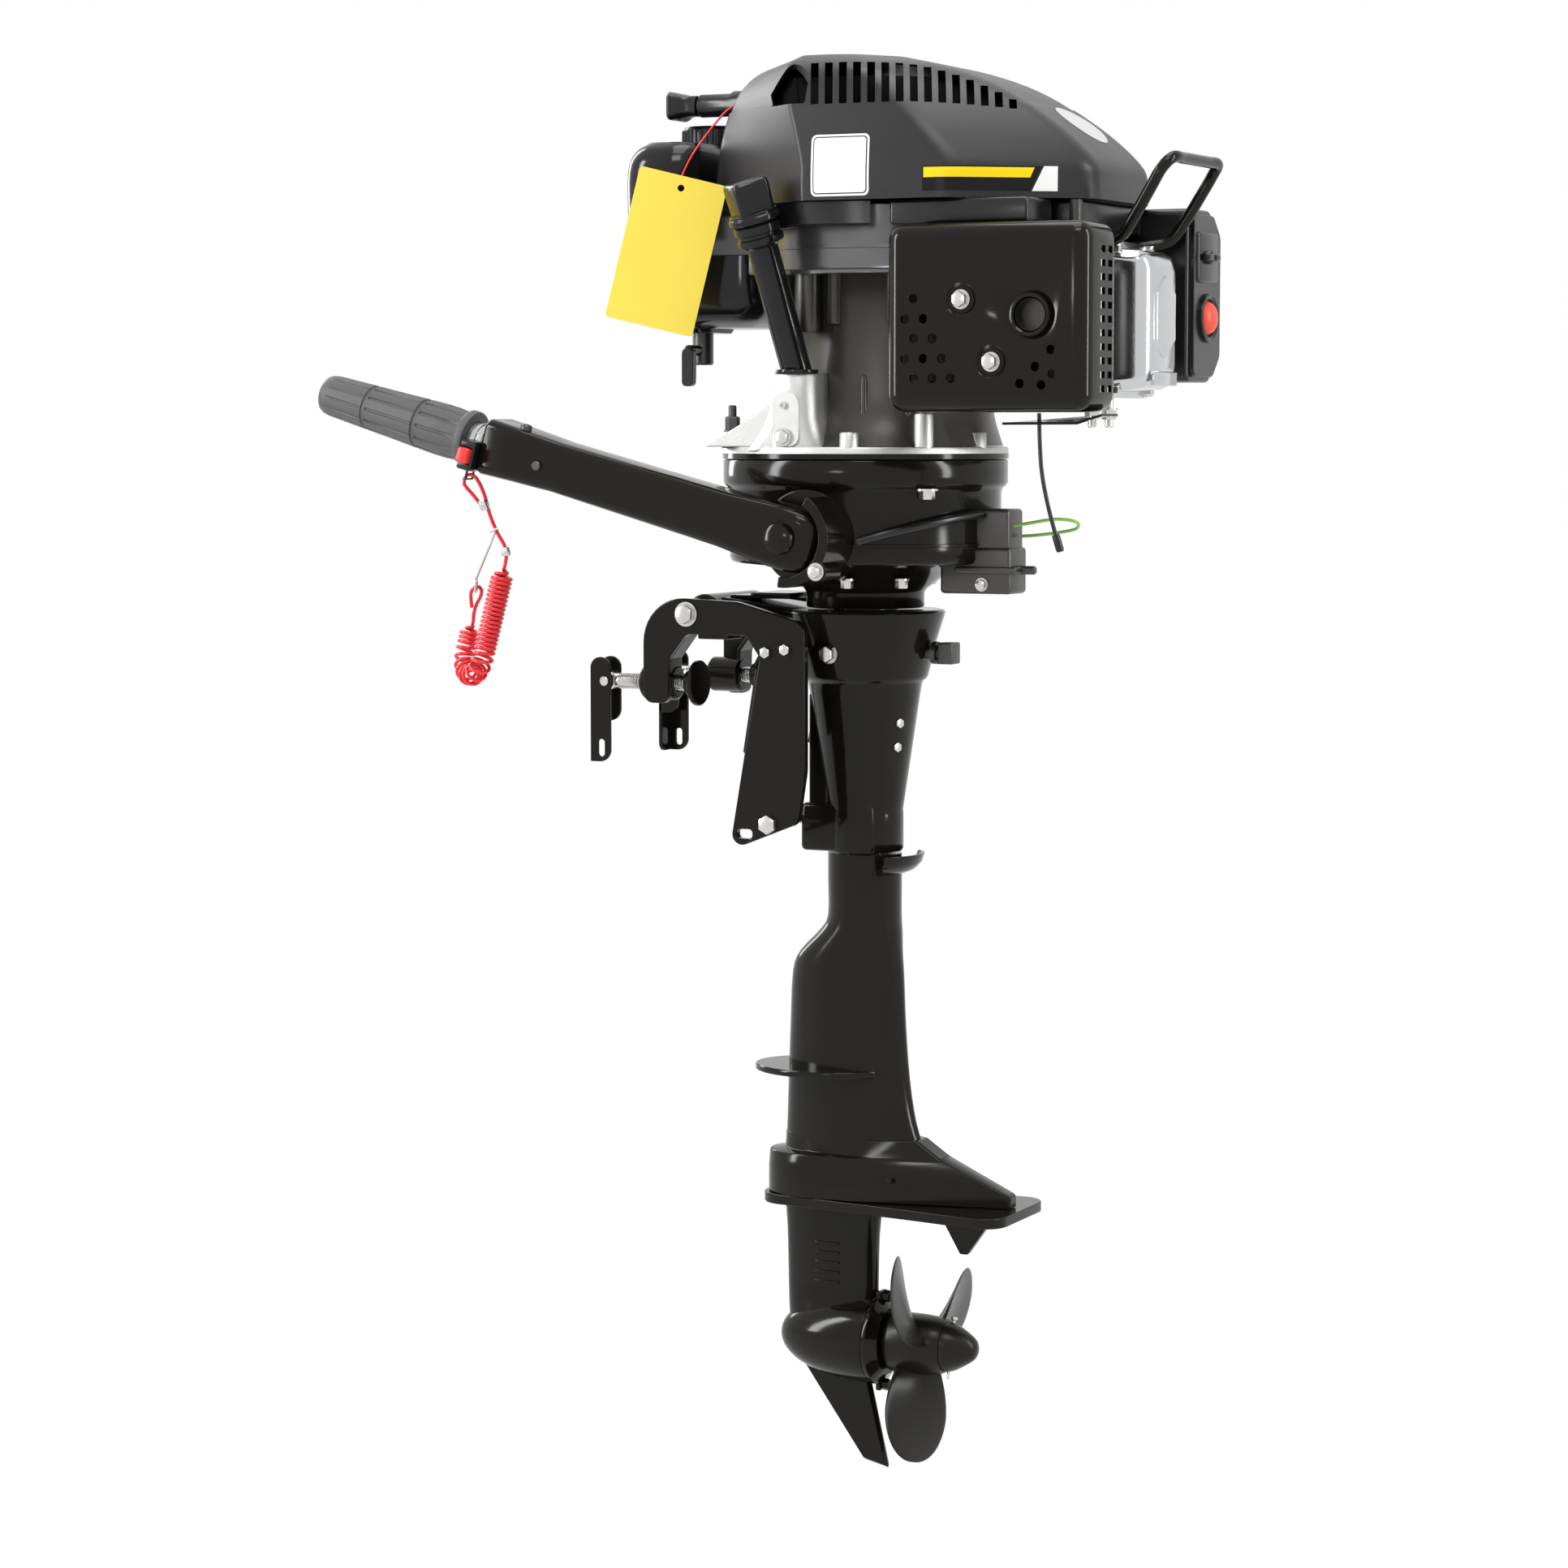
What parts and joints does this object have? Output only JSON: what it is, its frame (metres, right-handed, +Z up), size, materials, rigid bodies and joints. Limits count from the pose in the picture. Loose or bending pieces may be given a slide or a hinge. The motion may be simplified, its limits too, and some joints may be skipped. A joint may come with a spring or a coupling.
{
  "type": "outboard motor",
  "caption": "Portable air-cooled outboard motor with tiller, transom clamp, tilting and steering bracket, long leg and three-blade propeller.",
  "frame": {"origin": "on the transom's top edge, midway between the two clamp brackets, at their seats", "axes": "+Z up along the leg, +X aft towards the propeller's wake, -Y to port where the tiller and the muffler are"},
  "size_m": [0.6584, 0.2839, 1.053],
  "materials": {
    "black_paint": "gloss black paint on aluminium castings and pressed steel",
    "charcoal_plastic": "finely grained moulded plastic",
    "black_plastic": "smooth moulded plastic",
    "rubber": "ribbed grip rubber",
    "cast_aluminium": "as cast, machined faces",
    "dark_casting": "dark painted casting",
    "steel": "turned and plated",
    "zinc": "bright plated pressing",
    "red_plastic": "coloured through",
    "orange_rubber": "soft moulded",
    "yellow_card": "blank coated card",
    "green_wire": "green and yellow insulation"
  },
  "bodies": {
    "clamp": {"clamp_bracket_port": "black_paint", "clamp_bracket_starboard": "black_paint", "tilt_bolt": "steel", "tilt_stop_pin": "steel"},
    "clamp_pad_port": {"clamp_pad_port": "black_paint"},
    "clamp_screw_port": {"clamp_screw_port": "steel"},
    "clamp_handle_port": {"clamp_handle_port": "black_paint"},
    "clamp_pad_starboard": {"clamp_pad_starboard": "black_paint"},
    "clamp_screw_starboard": {"clamp_screw_starboard": "steel"},
    "clamp_handle_starboard": {"clamp_handle_starboard": "black_paint"},
    "swivel": {"swivel_bracket": "black_paint", "upper_bush": "black_plastic", "lower_bush": "black_plastic"},
    "steering_lock": {"steering_lock_screw": "black_paint"},
    "powerhead": {"adapter_housing": "black_paint", "tiller_bolt": "steel", "drive_housing": "black_paint", "lower_unit": "black_paint", "bearing_carrier": "black_paint", "engine_base": "cast_aluminium", "crankcase": "dark_casting", "cylinder": "dark_casting", "cylinder_head": "cast_aluminium", "valve_cover": "zinc", "spark_plug": "black_plastic", "muffler": "steel", "muffler_guard": "black_paint", "lift_handle": "black_paint", "carburettor": "cast_aluminium", "air_cleaner": "black_plastic", "fuel_tank": "black_plastic", "oil_filler_tube": "black_plastic", "cowl": "charcoal_plastic", "throttle_cable": "black_plastic", "ignition_lead": "black_plastic", "earth_lead": "green_wire", "tag_string": "red_plastic", "hang_tag": "yellow_card"},
    "drive_train": {"drive_shaft": "steel"},
    "propeller": {"propeller_shaft": "steel", "propeller": "black_paint", "propeller_nut": "black_paint"},
    "crank": {"crankshaft": "steel", "flywheel": "cast_aluminium"},
    "recoil": {"recoil_pulley": "black_plastic"},
    "starter": {"starter_rope": "rubber", "starter_grip": "black_plastic"},
    "oil_cap": {"oil_cap": "black_plastic"},
    "fuel_cap": {"fuel_cap": "black_plastic"},
    "fuel_tap": {"fuel_tap_lever": "black_plastic"},
    "primer": {"primer_bulb": "orange_rubber"},
    "tiller": {"tiller_arm": "black_paint", "grip_sleeve": "zinc", "stop_switch": "black_plastic", "lanyard_strap": "red_plastic", "lanyard_coil": "red_plastic", "lanyard_tail": "red_plastic", "snap_hook": "steel"},
    "throttle": {"throttle_grip": "rubber"},
    "stop_button": {"stop_button": "red_plastic"}
  },
  "joints": [
    {"name": "clamp_travel_port", "type": "slide", "parent": "clamp", "child": "clamp_pad_port", "axis": [1, 0, 0], "range_m": [-0.0061, 0.0121]},
    {"name": "clamp_turn_port", "type": "hinge", "parent": "clamp_pad_port", "child": "clamp_screw_port", "pos_m": [-0.104, -0.055, -0.033], "axis": [1, 0, 0], "range_deg": [-720, 1440]},
    {"name": "clamp_handle_fold_port", "type": "hinge", "parent": "clamp_screw_port", "child": "clamp_handle_port", "pos_m": [-0.104, -0.055, -0.033], "axis": [0, 1, 0], "range_deg": [0, 90]},
    {"name": "clamp_travel_starboard", "type": "slide", "parent": "clamp", "child": "clamp_pad_starboard", "axis": [1, 0, 0], "range_m": [-0.0061, 0.0121]},
    {"name": "clamp_turn_starboard", "type": "hinge", "parent": "clamp_pad_starboard", "child": "clamp_screw_starboard", "pos_m": [-0.104, 0.055, -0.033], "axis": [1, 0, 0], "range_deg": [-720, 1440]},
    {"name": "clamp_handle_fold_starboard", "type": "hinge", "parent": "clamp_screw_starboard", "child": "clamp_handle_starboard", "pos_m": [-0.104, 0.055, -0.033], "axis": [0, 1, 0], "range_deg": [0, 90]},
    {"name": "tilt", "type": "hinge", "parent": "clamp", "child": "swivel", "pos_m": [-0.031, 0, 0.019], "axis": [0, -1, 0], "range_deg": [0, 60]},
    {"name": "steering_lock_turn", "type": "hinge", "parent": "swivel", "child": "steering_lock", "pos_m": [0.083, 0, -0.009], "axis": [1, 0, 0], "range_deg": [0, 180]},
    {"name": "steering", "type": "hinge", "parent": "swivel", "child": "powerhead", "pos_m": [0.083, 0, 0], "axis": [0, 0, 1], "range_deg": [-60, 60]},
    {"name": "propeller_spin", "type": "hinge", "parent": "powerhead", "child": "propeller", "pos_m": [0.083, 0, -0.53], "axis": [1, 0, 0], "continuous": true},
    {"name": "drive_spin", "type": "hinge", "parent": "powerhead", "child": "drive_train", "pos_m": [0.083, 0, 0], "axis": [0, 0, 1], "continuous": true},
    {"name": "crank_spin", "type": "hinge", "parent": "powerhead", "child": "crank", "pos_m": [0.083, 0, 0.23], "axis": [0, 0, 1], "continuous": true},
    {"name": "recoil_spin", "type": "hinge", "parent": "powerhead", "child": "recoil", "pos_m": [0.083, 0, 0.378], "axis": [0, 0, 1], "range_deg": [0, 570]},
    {"name": "starter_pull", "type": "slide", "parent": "powerhead", "child": "starter", "axis": [-1, 0, 0], "range_m": [0, 0.45], "deforming": ["starter_rope"]},
    {"name": "oil_cap_pull", "type": "slide", "parent": "powerhead", "child": "oil_cap", "axis": [-0.1654, -0.2618, 0.9508], "range_m": [0, 0.1]},
    {"name": "fuel_cap_turn", "type": "hinge", "parent": "powerhead", "child": "fuel_cap", "pos_m": [-0.057, 0.03, 0.368], "axis": [0, 0, 1], "range_deg": [0, 90]},
    {"name": "fuel_tap_turn", "type": "hinge", "parent": "powerhead", "child": "fuel_tap", "pos_m": [-0.053, 0, 0.215], "axis": [0, 1, 0], "range_deg": [0, 90]},
    {"name": "primer_press", "type": "slide", "parent": "powerhead", "child": "primer", "axis": [-1, 0, 0], "range_m": [0, 0.005], "stiffness_N_per_m": 60},
    {"name": "tiller_lift", "type": "hinge", "parent": "powerhead", "child": "tiller", "pos_m": [0.083, -0.126, 0.078], "axis": [0, 1, 0], "range_deg": [0, 45]},
    {"name": "throttle_twist", "type": "hinge", "parent": "tiller", "child": "throttle", "pos_m": [-0.17877, -0.126, 0.14814], "axis": [-0.9659, 0, 0.2588], "range_deg": [0, 70]},
    {"name": "stop_press", "type": "slide", "parent": "tiller", "child": "stop_button", "axis": [0, 1, 0], "range_m": [0, 0.003], "stiffness_N_per_m": 50}
  ],
  "couplings": [
    {"joint": "clamp_travel_port", "follows": "clamp_turn_port", "m_per_rad": 0.00047746},
    {"joint": "clamp_travel_starboard", "follows": "clamp_turn_starboard", "m_per_rad": 0.00047746},
    {"joint": "drive_spin", "follows": "propeller_spin", "ratio": 2.3333},
    {"joint": "starter_pull", "follows": "recoil_spin", "m_per_rad": 0.045}
  ]
}
